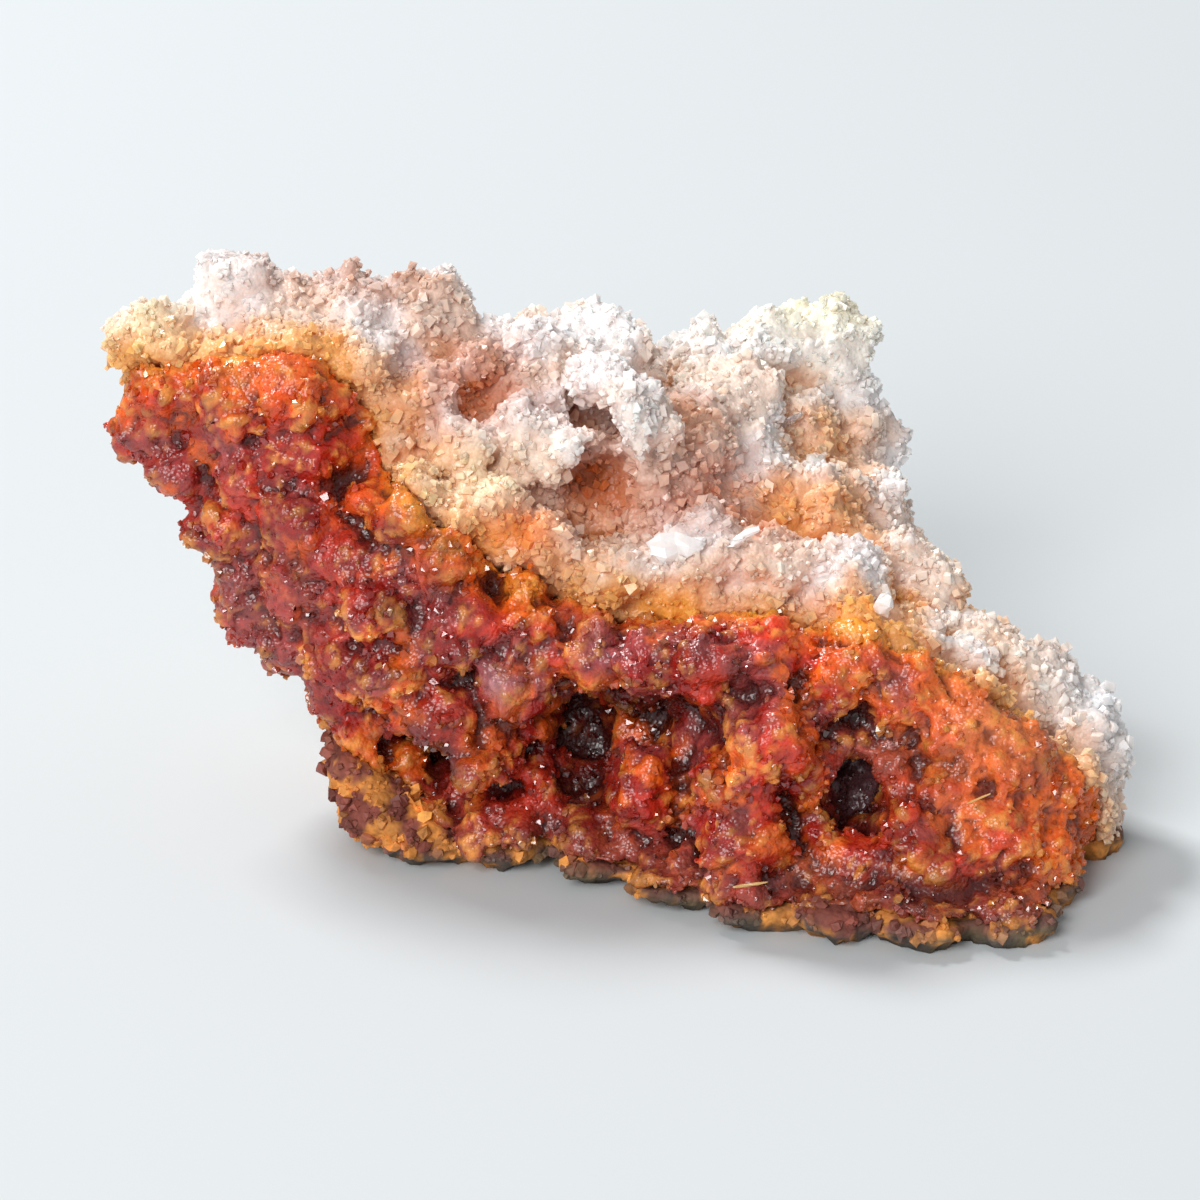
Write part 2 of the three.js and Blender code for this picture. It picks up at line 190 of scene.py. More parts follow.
def relaxed(places, faces, times):
    """Each corner moved half way to the mean of the corners it shares an edge with, `times` times."""
    one = faces.ravel()
    other = np.roll(faces, -1, axis=1).ravel()
    joins = np.bincount(one, minlength=len(places)) + np.bincount(other, minlength=len(places))
    for _ in range(times):
        total = sum_at(len(places), one, places[other]) + sum_at(len(places), other, places[one])
        places = (places + total / joins[:, None]) / 2
    return places


def kept_in_box(places):
    """The places held between the specimen's lowest and highest corners, with a little to spare, and above
    the surface that it rests on."""
    low = np.array(cad_low) - BOX_SPARE
    high = np.array(cad_high) + BOX_SPARE
    low[2] = 0
    return np.clip(places, low, high)


def linear(colour):
    """A colour given from 0 to 255 as the eye reads it, turned into amounts of light."""
    eye = np.array(colour) / 255
    return np.where(eye <= 0.04045, eye / 12.92, ((eye + 0.055) / 1.055) ** 2.4)


def laid_on(under, over, share):
    """The colours `under` with the colour `over` laid on them by a share from 0 to 1 at each place."""
    return under + (linear(over) - under) * np.clip(share, 0, 1)[:, None]


def rise(values, low, high):
    """0 at `low` and before it, 1 at `high` and past it, and a smooth rise between them. `low` may be the
    larger of the two, which turns the rise round."""
    t = np.clip((values - low) / (high - low), 0, 1)
    return t * t * (3 - 2 * t)


def all_over(places, colour):
    """One row of the same colour for each place."""
    return np.repeat(linear(colour)[None], len(places), axis=0)


def laid_by(values, colours, layer):
    """The colours with one layer laid on, by its share times the rise of `values` between the layer's two
    bounds."""
    colour, start, full, share = layer
    return laid_on(colours, colour, share * rise(values, start, full))


def patched(places, colours, patches):
    """The colours with a layer laid on in patches of rolling noise."""
    size, seed, *layer = patches
    return laid_by(rolling(places, size, seed), colours, layer)


def paint(piece, colours):
    """Writes one colour for each corner of the piece's mesh, which its material reads."""
    # The colour written here holds real stains, and also painted shade on the red mass and the crust.
    layer = piece.data.color_attributes.new("stain_and_shade", "FLOAT_COLOR", "POINT")
    rgba = np.concatenate([np.clip(colours, 0, 1), np.ones((len(colours), 1))], axis=1)
    layer.data.foreach_set("color", rgba.astype(np.float32).ravel())


def stone_finish(name, roughness, speckle, speckle_size, bump, **sockets):
    """A material that reads the painted colour, with its stains and its painted shade, and breaks it up with
    fine noise in the stone's own coordinates. The same noise makes it duller or glossier, and small cells
    give it a fine grain. `sockets` are the shader's own values."""
    made = bpy.data.materials.new(name)
    made.use_nodes = True
    nodes, links = made.node_tree.nodes, made.node_tree.links
    shader = nodes["Principled BSDF"]
    for socket, value in sockets.items():
        shader.inputs[socket.replace("_", " ")].default_value = value
    stain_and_shade = nodes.new("ShaderNodeVertexColor")
    stain_and_shade.layer_name = "stain_and_shade"
    place = nodes.new("ShaderNodeTexCoord")
    noise = nodes.new("ShaderNodeTexNoise")
    noise.inputs["Scale"].default_value = 1 / speckle_size
    noise.inputs["Detail"].default_value = 4
    links.new(place.outputs["Object"], noise.inputs["Vector"])
    spread = nodes.new("ShaderNodeMapRange")
    spread.inputs["From Min"].default_value = 0.3
    spread.inputs["From Max"].default_value = 0.7
    spread.inputs["To Min"].default_value = 1 - speckle
    spread.inputs["To Max"].default_value = 1 + speckle
    links.new(noise.outputs["Fac"], spread.inputs["Value"])
    tint = nodes.new("ShaderNodeVectorMath")
    tint.operation = "SCALE"
    links.new(stain_and_shade.outputs["Color"], tint.inputs[0])
    links.new(spread.outputs["Result"], tint.inputs["Scale"])
    links.new(tint.outputs["Vector"], shader.inputs["Base Color"])
    gloss = nodes.new("ShaderNodeMapRange")
    gloss.inputs["To Min"].default_value = roughness[0]
    gloss.inputs["To Max"].default_value = roughness[1]
    links.new(noise.outputs["Fac"], gloss.inputs["Value"])
    links.new(gloss.outputs["Result"], shader.inputs["Roughness"])
    grain = nodes.new("ShaderNodeTexVoronoi")
    grain.inputs["Scale"].default_value = 1.6 / speckle_size
    links.new(place.outputs["Object"], grain.inputs["Vector"])
    raised = nodes.new("ShaderNodeBump")
    raised.inputs["Strength"].default_value = bump
    raised.inputs["Distance"].default_value = 0.25 * speckle_size
    raised.invert = True
    links.new(grain.outputs["Distance"], raised.inputs["Height"])
    links.new(raised.outputs["Normal"], shader.inputs["Normal"])
    return made


rock_solid = corners_and_faces(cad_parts["matrix"].data)
rock_places, rock_faces = one_skin("matrix", [rock_solid], ROCK_CUBE)
rock_places = relaxed(rock_places, rock_faces, 2)
chip_near, chip_next, chip_tag = grains(rock_places, CHIP_SIZE, seed=4)
rock_lift = (KNOB_HEIGHT * (rolling(rock_places, KNOB_SIZE, seed=3) - KNOB_MEAN)
             + CHIP_HEIGHT * (chip_next - chip_near))
rock_places = rock_places + outward(rock_places, rock_faces) * rock_lift[:, None]
rock_places[:, 2] = np.where(rock_places[:, 2] < FOOT_HEIGHT, 0, rock_places[:, 2])
rock_places = kept_in_box(rock_places)
rock = put_mesh("dark_rock", rock_places, rock_faces)
rock_colour = patched(rock_places, all_over(rock_places, ROCK_GREY), OLIVE_PATCHES)
edge_wander = BROWN_EDGE_WANDER * (rolling(rock_places, BROWN_EDGE_PATCH, seed=8) - 0.5)
rock_colour = laid_by(rock_places[:, 2] + edge_wander, rock_colour, BROWN_ABOVE_EDGE)
rock_colour = patched(rock_places, rock_colour, OCHRE_PATCHES)
rock_colour = rock_colour * (1 + CHIP_SHADE * (chip_tag - 0.5))[:, None]
paint(rock, rock_colour)
rock.data.materials.append(stone_finish(
    "dark_rock", roughness=(0.55, 0.95), speckle=0.3, speckle_size=0.8 * MM, bump=0.6,
    Specular_IOR_Level=0.4))
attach(rock, "root")
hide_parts("matrix")


# The red zincite
# A mass of glassy crystal that grew as round clusters of balls, broken open along the front. It is orange
# next to the crust, with ochre dust on the crests. Painted shade darkens its creases and cavities and makes
# its deepest hollows nearly black.

ZINCITE_CUBE = 0.46 * MM
BALL_COUNT = 1500
SMALLEST_BALL = 0.5 * MM
LARGEST_BALL = 1.9 * MM
BALL_RARITY = 3
BALL_SUNK = 0.5
BALL_ROWS = 7
BALL_SIDES = 9
POLE_ANGLE = 0.12
CLUSTER_SIZE = 5.2 * MM
KNOT_SIZE = 1.7 * MM
BEAD_SIZE = 0.95 * MM

# How high clusters, knots of balls and beads stand, and the mean height that is taken off, in millimetres.
CLUSTER_HEIGHT, KNOT_HEIGHT, BEAD_HEIGHT, MEAN_HEIGHT = 1.3, 0.66, 0.34, 1.15

# How much lighter or darker single clusters, knots and beads are.
CLUSTER_SHADE, KNOT_SHADE, BEAD_SHADE = 0.4, 0.35, 0.3
FULL_RED = (154, 22, 13)
BRIGHT_RED = (202, 50, 26)
DUSKY_ROSE = (156, 74, 72)
CHERRY_RED = (186, 22, 8)
# The crease red and the hollow red are the colours of painted shade.
CREASE_SHADE_RED = (84, 12, 9)
DARK_VIOLET = (96, 58, 62)
VIOLET_ROSE = (150, 84, 90)
CLOUDY_LILAC = (186, 140, 146)
HOLLOW_SHADE_RED = (50, 11, 7)
ORANGE_GLOW = (232, 102, 22)
BAND_TAN = (234, 128, 66)
AMBER = (238, 158, 52)

BRIGHT_PATCHES = (4 * MM, 30, BRIGHT_RED, 0.4, 0.62, 1)
DUSKY_PATCHES = (3.4 * MM, 31, DUSKY_ROSE, 0.5, 0.66, 0.7)
ORANGE_PATCHES = (3 * MM, 34, ORANGE_GLOW, 0.52, 0.66, 0.75)
BROWN_LOW_DOWN = (SHELF_BROWN, 7 * MM, 3.5 * MM, 0.7)
ORANGE_NEAR_CRUST = (ORANGE_GLOW, 5 * MM, 1.5 * MM, 0.9)
AMBER_AT_CRUST = (AMBER, 2.2 * MM, 0.2 * MM, 0.8)
CRUST_EDGE_WANDER = 7 * MM
CRUST_EDGE_PATCH = 4 * MM
# Painted shade: a deep red laid into the creases and a nearly black red laid into the cavities of the red
# mass.
SHADE_IN_CREASES = (CREASE_SHADE_RED, 0.08 * MM, 0.55 * MM, 0.85)
SHADE_IN_CAVITIES = (HOLLOW_SHADE_RED, 0.4 * MM, 2.1 * MM, 0.92)
CREST_RISE = 0.18 * MM
DUST_PATCH = 1.8 * MM
DUST_STARTS, DUST_FULL, DUST_SHARE = 0.47, 0.61, 0.75

# How many times the skin is relaxed to tell crests, creases and cavities from what is round them.
CREST_SPAN, CREASE_SPAN, CAVITY_SPAN = 8, 36, 240

# Where the crystal is clearest or duskiest: the middle of each zone and its half widths, in millimetres.
ORANGE_BAND_UNDER_PEAK = ((-24, -5, 42), (8, 6, 4), ORANGE_GLOW)
GLOW_UNDER_FRONT_RIDGE = ((-8.2, -11, 29), (5, 4, 3), ORANGE_GLOW)
ORANGE_RIGHT_BAND = ((33, -18, 14), (9, 6, 6), BAND_TAN)
CLEAR_RIGHT_END = ((38, -20, 5), (5, 6, 7), ORANGE_GLOW)
LEFT_GROTTO = ((-22, -5, 36), (5.5, 5, 4.5), CHERRY_RED)
DUSKY_LOWER_LEFT = ((-30, -4, 20), (8, 8, 7), DUSKY_ROSE)
DUSKY_BALL_IN_MIDDLE = ((-1.5, -16.8, 22.4), (2.6, 3, 2.6), VIOLET_ROSE)
LILAC_BALL_ON_LEDGE = ((-11, -17.3, 17.9), (2.2, 2.4, 2), CLOUDY_LILAC)
ZINCITE_ZONES = (ORANGE_BAND_UNDER_PEAK, GLOW_UNDER_FRONT_RIDGE, ORANGE_RIGHT_BAND, CLEAR_RIGHT_END,
                 LEFT_GROTTO, DUSKY_LOWER_LEFT, DUSKY_BALL_IN_MIDDLE, LILAC_BALL_ON_LEDGE)

# Painted shade, nearly black, in the deepest hollows between the ledges.
LEFT_HOLLOW_SHADE = ((-16.3, -16, 10.5), (4, 5, 3.2), HOLLOW_SHADE_RED)
MIDDLE_HOLLOW_SHADE = ((-3.4, -13, 9.5), (3.2, 5, 4), HOLLOW_SHADE_RED)
HOLLOW_SHADE_UNDER_LEDGE = ((1.5, -13, 16), (4, 4, 3), HOLLOW_SHADE_RED)
RIGHT_HOLLOW_SHADE = ((20, -14, 9), (3.2, 3.5, 3.4), HOLLOW_SHADE_RED)
HOLLOW_SHADE_ZONES = (LEFT_HOLLOW_SHADE, MIDDLE_HOLLOW_SHADE, HOLLOW_SHADE_UNDER_LEDGE, RIGHT_HOLLOW_SHADE)

# Dark violet balls that grew in the right hollow: the middle and the radius of each, in millimetres. Their
# colour fades out at so many radii from the middle.
DARK_BALLS = ((19.2, -16.2, 8.6, 1.5), (21.1, -15.6, 7, 1.4), (19.3, -16.4, 6.1, 1.2),
              (21.6, -15.2, 9.6, 1.2), (20.3, -15, 10.8, 1.1))
VIOLET_ROUND_BALL = (DARK_VIOLET, 1.5, 0.9, 1)
ZONE_PATCH = 2.2 * MM


def unit(vectors):
    """The vectors with their lengths made 1."""
    return vectors / np.maximum(np.linalg.norm(vectors, axis=1, keepdims=True), 1e-12)


def spread_over(solid, count, random):
    """Places spread evenly over a solid's triangles, with each place's normal: a triangle is drawn by its
    area, and two even numbers give the place in it."""
    places, faces = solid
    a, b, c = (places[faces[:, i]] for i in range(3))
    cross = np.cross(b - a, c - a)
    area = np.linalg.norm(cross, axis=1)
    pick = random.choice(len(faces), count, p=area / area.sum())
    u = np.sqrt(random.random(count))[:, None]
    v = random.random(count)[:, None]
    spot = (1 - u) * a[pick] + u * (1 - v) * b[pick] + u * v * c[pick]
    return spot, unit(cross[pick])


def ring_form(profile, sides):
    """A closed form turned round its own axis: `profile` gives rows of (radius, height) from foot to top,
    and each row is a ring of `sides` corners. Each end is closed on one corner."""
    turn = np.arange(sides) / sides * 2 * np.pi
    radius, height = np.array(profile).T
    rings = np.stack([radius[:, None] * np.cos(turn), radius[:, None] * np.sin(turn),
                      np.repeat(height[:, None], sides, axis=1)], axis=2).reshape(-1, 3)
    ends = np.array([[0, 0, height[0]], [0, 0, height[-1]]])
    first = np.arange(sides)
    along = np.roll(first, -1)
    row = np.arange(len(profile) - 1)[:, None] * sides
    low, low_next = (row + first).ravel(), (row + along).ravel()
    walls = np.concatenate([np.stack([low, low_next, low_next + sides], axis=1),
                            np.stack([low, low_next + sides, low + sides], axis=1)])
    foot, last = len(rings), (len(profile) - 1) * sides
    under = np.stack([np.full(sides, foot), along, first], axis=1)
    over = np.stack([np.full(sides, foot + 1), last + first, last + along], axis=1)
    return np.concatenate([rings, ends]), np.concatenate([walls, under, over])


def many(form, middles, axes, sizes, random, uneven=0.0):
    """Copies of one form as a single pair of arrays: each is scaled, spun about its own axis, leaned to its
    direction and moved to its middle. `uneven` lets each corner wander by that share of the size."""
    places, faces = form
    count = len(middles)
    side = unit(np.cross(axes, random.normal(size=(count, 3))))
    basis = np.stack([side, np.cross(axes, side), axes], axis=1)
    local = places + uneven * (random.random((count, len(places), 3)) - 0.5)
    spread = np.einsum("nkj,njd->nkd", local, basis) * sizes[:, None, None] + middles[:, None]
    numbers = faces[None] + (np.arange(count) * len(places))[:, None, None]
    return spread.reshape(-1, 3), numbers.reshape(-1, faces.shape[1])


def hollowness(places, faces, times):
    """How far the relaxed skin stands out past each corner, in metres: above 0 in a hollow, below 0 on a
    crest. More times tell wider hollows."""
    smooth = relaxed(places, faces, times)
    return np.sum((smooth - places) * outward(smooth, faces), axis=1)


def distance_to(places, solid, random, samples=4000, block=2000):
    """Distance from each place to the nearest of `samples` points spread over a solid: the squared lengths
    of both less twice their product, worked out for `block` places at a time."""
    points = spread_over(solid, samples, random)[0] / MM
    found = np.empty(len(places))
    for start in range(0, len(places), block):
        rows = places[start:start + block] / MM
        squares = (rows ** 2).sum(axis=1)[:, None] + (points ** 2).sum(axis=1) - 2 * rows @ points.T
        found[start:start + block] = squares.min(axis=1)
    return np.sqrt(np.maximum(found, 0)) * MM


def zoned(places, colours, zones):
    """Each zone's colour laid on by the bell curve of the distance from its middle, in units of its half
    widths, made uneven by noise."""
    uneven = 0.5 + 0.9 * rolling(places, ZONE_PATCH, seed=60)
    for middle, half_widths, colour in zones:
        away = (places / MM - middle) / half_widths
        colours = laid_on(colours, colour, uneven * np.exp(-np.sum(away ** 2, axis=1)))
    return colours


zincite_solid = corners_and_faces(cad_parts["zincite"].data)
crust_solid = corners_and_faces(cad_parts["white_crust"].data)
zincite_random = np.random.default_rng(11)
ball_steps = np.linspace(POLE_ANGLE, np.pi - POLE_ANGLE, BALL_ROWS)
BALL = ring_form(np.stack([np.sin(ball_steps), -np.cos(ball_steps)], axis=1), BALL_SIDES)
ball_spots, ball_normals = spread_over(zincite_solid, BALL_COUNT, zincite_random)
ball_share = zincite_random.random(BALL_COUNT) ** BALL_RARITY
ball_sizes = SMALLEST_BALL + (LARGEST_BALL - SMALLEST_BALL) * ball_share
zincite_balls = many(BALL, ball_spots - ball_normals * (ball_sizes * BALL_SUNK)[:, None],
                     unit(zincite_random.normal(size=(BALL_COUNT, 3))), ball_sizes, zincite_random)
dark = np.array(DARK_BALLS) * MM
dark_axes = unit(zincite_random.normal(size=(len(dark), 3)))
dark_balls = many(BALL, dark[:, :3], dark_axes, dark[:, 3], zincite_random)
zincite_shells = [zincite_solid, zincite_balls, dark_balls]
zincite_places, zincite_faces = one_skin("zincite", zincite_shells, ZINCITE_CUBE)
zincite_places = relaxed(zincite_places, zincite_faces, 1)
knot_near, knot_next, knot_tag = grains(zincite_places, KNOT_SIZE, seed=21)
bead_near, bead_next, bead_tag = grains(zincite_places, BEAD_SIZE, seed=22)
cluster_near, cluster_next, cluster_tag = grains(zincite_places, CLUSTER_SIZE, seed=20)
zincite_lift = (CLUSTER_HEIGHT * np.sqrt(cluster_next - cluster_near)
                + KNOT_HEIGHT * np.sqrt(knot_next - knot_near)
                + BEAD_HEIGHT * np.sqrt(bead_next - bead_near) - MEAN_HEIGHT) * MM
zincite_places = kept_in_box(
    zincite_places + outward(zincite_places, zincite_faces) * zincite_lift[:, None])
zincite = put_mesh("red_zincite", zincite_places, zincite_faces)

crust_gap = distance_to(zincite_places, crust_solid, zincite_random)
to_crust = crust_gap + CRUST_EDGE_WANDER * (rolling(zincite_places, CRUST_EDGE_PATCH, seed=40) - 0.5)
crest = -hollowness(zincite_places, zincite_faces, CREST_SPAN)
crease = hollowness(zincite_places, zincite_faces, CREASE_SPAN)
cavity = hollowness(zincite_places, zincite_faces, CAVITY_SPAN)
zincite_colour = all_over(zincite_places, FULL_RED)
for patches in (BRIGHT_PATCHES, DUSKY_PATCHES, ORANGE_PATCHES):
    zincite_colour = patched(zincite_places, zincite_colour, patches)
zincite_colour = laid_by(zincite_places[:, 2], zincite_colour, BROWN_LOW_DOWN)
zincite_colour = laid_by(to_crust, zincite_colour, ORANGE_NEAR_CRUST)
zincite_colour = laid_by(to_crust, zincite_colour, AMBER_AT_CRUST)
zincite_colour = zoned(zincite_places, zincite_colour, ZINCITE_ZONES)
dust = rise(rolling(zincite_places, DUST_PATCH, seed=33), DUST_STARTS, DUST_FULL)
dust_on_crests = rise(crest, 0, CREST_RISE) * dust
zincite_colour = laid_on(zincite_colour, OCHRE_DUST, DUST_SHARE * dust_on_crests)
zincite_colour = zincite_colour * (1 + CLUSTER_SHADE * (cluster_tag - 0.5) + KNOT_SHADE * (knot_tag - 0.5)
                                   + BEAD_SHADE * (bead_tag - 0.5))[:, None]
# Painted shade in the creases, the cavities and the deepest hollows.
zincite_colour = laid_by(crease, zincite_colour, SHADE_IN_CREASES)
zincite_colour = laid_by(cavity, zincite_colour, SHADE_IN_CAVITIES)
zincite_colour = zoned(zincite_places, zincite_colour, HOLLOW_SHADE_ZONES)
for ball in DARK_BALLS:
    radii_away = np.linalg.norm(zincite_places / MM - ball[:3], axis=1) / ball[3]
    zincite_colour = laid_by(radii_away, zincite_colour, VIOLET_ROUND_BALL)
paint(zincite, zincite_colour)
zincite.data.materials.append(stone_finish(
    "glassy_zincite", roughness=(0.12, 0.45), speckle=0.22, speckle_size=0.6 * MM, bump=0.6,
    Subsurface_Weight=0.3, Subsurface_Radius=(1.0, 0.28, 0.12), Subsurface_Scale=1.2 * MM, IOR=1.6))
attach(zincite, "root")
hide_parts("zincite")


# The pale crust
# Small blocky crystals, white to peach, that grew close together like sugar over the top, the back and the
# right end. The crust is peach to amber where it meets the red mass, and a brown painted shade darkens its
# bowls and craters.

CRUST_CUBE = 0.5 * MM
LUMP_COUNT = 1500
BLOCK_SIZE = 1.7 * MM
BLOCK_HEIGHT = 0.8 * MM
GRAIN_SIZE = 0.85 * MM
GRAIN_HEIGHT = 0.5 * MM
MEAN_CRUST_HEIGHT = 0.3 * MM
BLOCK_SHADE = 0.14
GRAIN_SHADE = 0.12

# The smallest lump, how much larger the largest is, in millimetres, and how rare the large ones are. Each is
# sunk by a share of its size and leaned off the normal.
SMALLEST_LUMP, LUMP_RANGE, LUMP_RARITY = 0.6, 1.3, 2.5
LUMP_SUNK = 0.3
LUMP_LEAN = 0.7
SUGAR_WHITE = (250, 240, 237)
WARM_SUGAR = (246, 222, 206)
PEACH = (242, 182, 132)
CREAM = (252, 222, 184)
# The crater brown is the colour of painted shade.
CRATER_SHADE_BROWN = (196, 104, 50)
SLOPE_PINK = (222, 132, 84)
CLEAR_GREY = (232, 232, 234)
PALE_YELLOW = (248, 240, 214)
CLEAR_ORANGE = (240, 132, 44)
TAN_SHADE = (208, 142, 104)
PEAK_TAN = (190, 132, 102)

WARM_PATCHES = (7 * MM, 32, WARM_SUGAR, 0.42, 0.62, 1)
PEACH_NEAR_ZINCITE = (PEACH, 6 * MM, 2 * MM, 0.95)
AMBER_AT_ZINCITE = (AMBER, 2.6 * MM, 0, 0.65)
# Painted shade: brown laid into the bowls of the crust.
SHADE_IN_BOWLS = (CRATER_SHADE_BROWN, 0.4 * MM, 2 * MM, 0.75)
BOWL_SPAN = 120
ZINCITE_EDGE_WANDER = 8 * MM
ZINCITE_EDGE_PATCH = 5 * MM

LEFT_END_KNOBS = ((-40, 1, 45), (5, 5, 4), CREAM)
GLOW_UNDER_KNOBS = ((-42, -1, 41), (3, 3, 2), AMBER)
CREAM_KNOB_BY_PEAK = ((-28.6, -2, 47), (4, 4, 2.5), CREAM)
TAN_BEHIND_PEAK = ((-22, 8, 46), (8, 5, 3), PEAK_TAN)
FAR_KNOB = ((18, 28, 34), (10, 6, 5), PALE_YELLOW)
CLEAR_FAR_SIDE = ((27, 20, 20), (6, 10, 8), CLEAR_GREY)
CLEAR_RIGHT_BACK = ((42, -8, 10), (5, 8, 7), CLEAR_GREY)
# Painted shade, brown, in the two craters.
LEFT_CRATER_SHADE = ((-12.6, 1.7, 37.4), (5.6, 5.5, 5), CRATER_SHADE_BROWN)
MIDDLE_CRATER_SHADE = ((-1.4, -1.5, 30.2), (5.4, 6, 4.2), CRATER_SHADE_BROWN)
PINK_SLOPE = ((11, -1.5, 28), (9, 6, 4), SLOPE_PINK)
GLOW_BY_FRONT_RIDGE = ((-8.2, -10.7, 29.6), (4.4, 3.4, 2.4), CLEAR_ORANGE)
SHADE_BEHIND_TOOTH = ((4.6, 4, 33.5), (5, 4.5, 4), TAN_SHADE)
TOOTH_WHITE = ((1.4, -3.1, 36.5), (2.6, 2.8, 3.4), SUGAR_WHITE)
SPIKES_UNDER_RIDGE = ((4.2, -10.4, 22.6), (4, 3, 2.4), AMBER)
CREAM_FRONT_LOBE = ((-11, -7, 33), (6, 4, 4), CREAM)
CRUST_ZONES = (LEFT_END_KNOBS, GLOW_UNDER_KNOBS, CREAM_KNOB_BY_PEAK, TAN_BEHIND_PEAK, FAR_KNOB,
               CLEAR_FAR_SIDE, CLEAR_RIGHT_BACK, CREAM_FRONT_LOBE, LEFT_CRATER_SHADE, MIDDLE_CRATER_SHADE, PINK_SLOPE,
               GLOW_BY_FRONT_RIDGE, SHADE_BEHIND_TOOTH, TOOTH_WHITE, SPIKES_UNDER_RIDGE)

# The hanging tooth, the root that it grew from and the spikes under the front ridge: the middle of each, the
# way that it points, and its half length, half width and half thickness, in millimetres.
HANGING_TOOTH = ((1.4, -3.1, 36.5), (0.21, -0.66, -0.72), (3.6, 2.2, 1.7))
TOOTH_ROOT = ((-0.8, 1.6, 38), (0.3, -0.9, 0.2), (4.4, 3, 2.4))
SPIKES = (((2.6, -10.2, 23.4), (0.1, -0.5, -0.85), (2, 1, 0.9)),
          ((4.4, -10.8, 23.6), (0.05, -0.5, -0.85), (2.4, 1.1, 0.9)),
          ((6.3, -11, 23.8), (-0.1, -0.5, -0.85), (2, 1, 0.9)),
          ((8, -10.8, 24.2), (0.1, -0.4, -0.9), (1.6, 0.9, 0.8)))
TAPERED = ring_form([(0.7, -1), (1, -0.6), (0.92, -0.1), (0.6, 0.5), (0.14, 1)], 9)
LUMP = ring_form([(0.35, -0.9), (0.92, -0.55), (1, 0.1), (0.8, 0.62), (0.3, 0.95)], 6)
crust_random = np.random.default_rng(23)
lump_spots, lump_normals = spread_over(crust_solid, LUMP_COUNT, crust_random)
lump_sizes = (SMALLEST_LUMP + LUMP_RANGE * crust_random.random(LUMP_COUNT) ** LUMP_RARITY) * MM
lump_axes = unit(lump_normals + LUMP_LEAN * crust_random.normal(size=(LUMP_COUNT, 3)))
crust_lumps = many(LUMP, lump_spots - lump_normals * (lump_sizes * LUMP_SUNK)[:, None], lump_axes,
                   lump_sizes, crust_random, uneven=0.3)


def set_apart(form, rows, random, uneven):
    """Single forms as pairs of arrays: each is stretched to its three half sizes, leaned to its axis and
    moved to its middle."""
    made = []
    for middle, axis, (length, width, thick) in rows:
        stretched = (form[0] * [width, thick, length], form[1])
        made.append(many(stretched, np.array([middle]) * MM, unit(np.array([axis])), np.array([MM]), random,
                         uneven))
    return made


hanging = set_apart(TAPERED, [HANGING_TOOTH, TOOTH_ROOT, *SPIKES], crust_random, uneven=0.4)
crust_places, crust_faces = one_skin("white_crust", [crust_solid, crust_lumps, *hanging], CRUST_CUBE)
crust_places = relaxed(crust_places, crust_faces, 1)
block_near, block_next, block_tag = grains(crust_places, BLOCK_SIZE, seed=41)
grain_near, grain_next, grain_tag = grains(crust_places, GRAIN_SIZE, seed=42)
crust_lift = (BLOCK_HEIGHT * (block_next - block_near) + GRAIN_HEIGHT * (grain_next - grain_near)
              - MEAN_CRUST_HEIGHT)
crust_places = kept_in_box(crust_places + outward(crust_places, crust_faces) * crust_lift[:, None])
crust = put_mesh("pale_crust", crust_places, crust_faces)

zincite_gap = distance_to(crust_places, zincite_solid, crust_random)
to_zincite = zincite_gap + ZINCITE_EDGE_WANDER * (rolling(crust_places, ZINCITE_EDGE_PATCH, seed=43) - 0.5)
bowl = hollowness(crust_places, crust_faces, BOWL_SPAN)
crust_colour = patched(crust_places, all_over(crust_places, SUGAR_WHITE), WARM_PATCHES)
crust_colour = laid_by(to_zincite, crust_colour, PEACH_NEAR_ZINCITE)
crust_colour = laid_by(to_zincite, crust_colour, AMBER_AT_ZINCITE)
# Painted shade in the bowls of the crust.
crust_colour = laid_by(bowl, crust_colour, SHADE_IN_BOWLS)
crust_colour = zoned(crust_places, crust_colour, CRUST_ZONES)
crust_shade = 1 + BLOCK_SHADE * (block_tag - 0.5) + GRAIN_SHADE * (grain_tag - 0.5)
crust_colour = crust_colour * crust_shade[:, None]
paint(crust, crust_colour)
crust.data.materials.append(stone_finish(
    "sugary_crust", roughness=(0.2, 0.55), speckle=0.06, speckle_size=0.6 * MM, bump=0.6,
    Subsurface_Weight=0.35, Subsurface_Radius=(1.0, 0.78, 0.7), Subsurface_Scale=1.2 * MM, IOR=1.5))
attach(crust, "root")
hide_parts("white_crust")


# The small crystals
# Blocky crystals up to about a millimetre across that stand close together on all three surfaces, like sugar
# on the crust, glassy on the red mass and rough on the rock. Each has the colour of the stone under it.

SUGAR_GRAINS = 12000
FINE_SUGAR_GRAINS = 6500
RED_GRAINS = 7800
ROCK_GRAINS = 1900
SUGAR_FORM = ring_form([(1, -0.8), (0.72, 0.8)], 4)
RED_FORM = ring_form([(0.7, -0.9), (1, 0.1), (0.5, 0.85)], 4)
HIDDEN_GAP = 0.7 * MM
BARE_FOOT = 1.5 * MM
BARE_PATCH = 4 * MM
BARE_BELOW = 0.4
FULL_ABOVE = 0.58
GRAIN_LEAN = 0.8
GRAIN_OUT = 0.12

# The smallest share of the largest size, the rest of it, and how rare the large crystals are.
LEAST_SHARE, SHARE_RANGE, GRAIN_RARITY = 0.35, 0.65, 1.6


